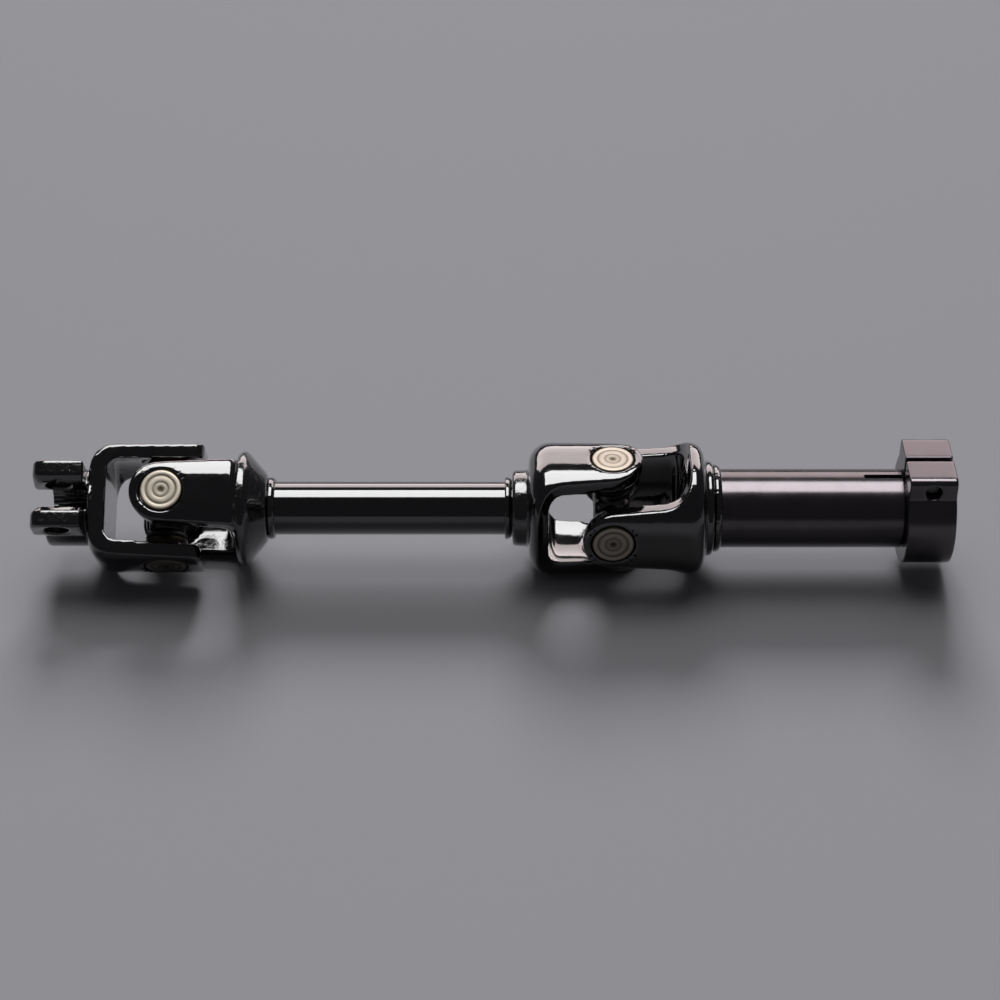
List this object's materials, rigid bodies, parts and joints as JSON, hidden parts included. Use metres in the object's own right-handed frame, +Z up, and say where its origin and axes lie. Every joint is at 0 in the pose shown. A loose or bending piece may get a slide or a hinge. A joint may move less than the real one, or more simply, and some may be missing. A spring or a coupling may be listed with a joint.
{
  "type": "steering shaft",
  "caption": "Intermediate steering shaft with needle-bearing universal joints, a slotted pinch-clamp yoke and a split clamped socket.",
  "frame": {"origin": "middle of the shaft's length and width, at its lowest point", "axes": "+X along the shaft from the clamp yoke towards the split socket, +Y away from the camera, +Z up"},
  "size_m": [0.3248, 0.0467, 0.0464],
  "materials": {
    "black_paint": "gloss black paint",
    "dark_steel": "satin dark grey",
    "cup_steel": "satin",
    "ground_steel": "ground",
    "rubber": "matt"
  },
  "bodies": {
    "shaft": {"shaft_rod": "black_paint", "shaft_yoke_left": "black_paint", "shaft_yoke_right": "black_paint", "weld_left": "black_paint", "weld_right": "black_paint", "cup_left_1": "cup_steel", "cup_left_3": "cup_steel", "cup_right_1": "cup_steel", "cup_right_3": "cup_steel", "needles_left_1": "ground_steel", "needles_left_3": "ground_steel", "needles_right_1": "ground_steel", "needles_right_3": "ground_steel"},
    "left_cross": {"cross_left": "ground_steel", "seal_left_1": "rubber", "seal_left_2": "rubber", "seal_left_3": "rubber", "seal_left_4": "rubber"},
    "clamp": {"clamp_yoke": "black_paint", "cup_left_2": "cup_steel", "cup_left_4": "cup_steel", "needles_left_2": "ground_steel", "needles_left_4": "ground_steel"},
    "right_cross": {"cross_right": "ground_steel", "seal_right_1": "rubber", "seal_right_2": "rubber", "seal_right_3": "rubber", "seal_right_4": "rubber"},
    "socket": {"sleeve_yoke": "black_paint", "sleeve": "dark_steel", "clamp_collar": "dark_steel", "pinch_bolt": "dark_steel", "weld_sleeve": "black_paint", "cup_right_2": "cup_steel", "cup_right_4": "cup_steel", "needles_right_2": "ground_steel", "needles_right_4": "ground_steel"}
  },
  "joints": [
    {"name": "left_cross_hinge", "type": "hinge", "parent": "shaft", "child": "left_cross", "pos_m": [-0.116, 0, 0.02318], "axis": [0, -0.5892, 0.808], "range_deg": [-25, 25]},
    {"name": "clamp_hinge", "type": "hinge", "parent": "left_cross", "child": "clamp", "pos_m": [-0.116, 0, 0.02318], "axis": [0, 0.808, 0.5892], "range_deg": [-25, 25]},
    {"name": "right_cross_hinge", "type": "hinge", "parent": "shaft", "child": "right_cross", "pos_m": [0.0422, 0, 0.02318], "axis": [0, 0, 1], "range_deg": [-25, 25]},
    {"name": "socket_hinge", "type": "hinge", "parent": "right_cross", "child": "socket", "pos_m": [0.0422, 0, 0.02318], "axis": [0, 1, 0], "range_deg": [-25, 25]}
  ]
}
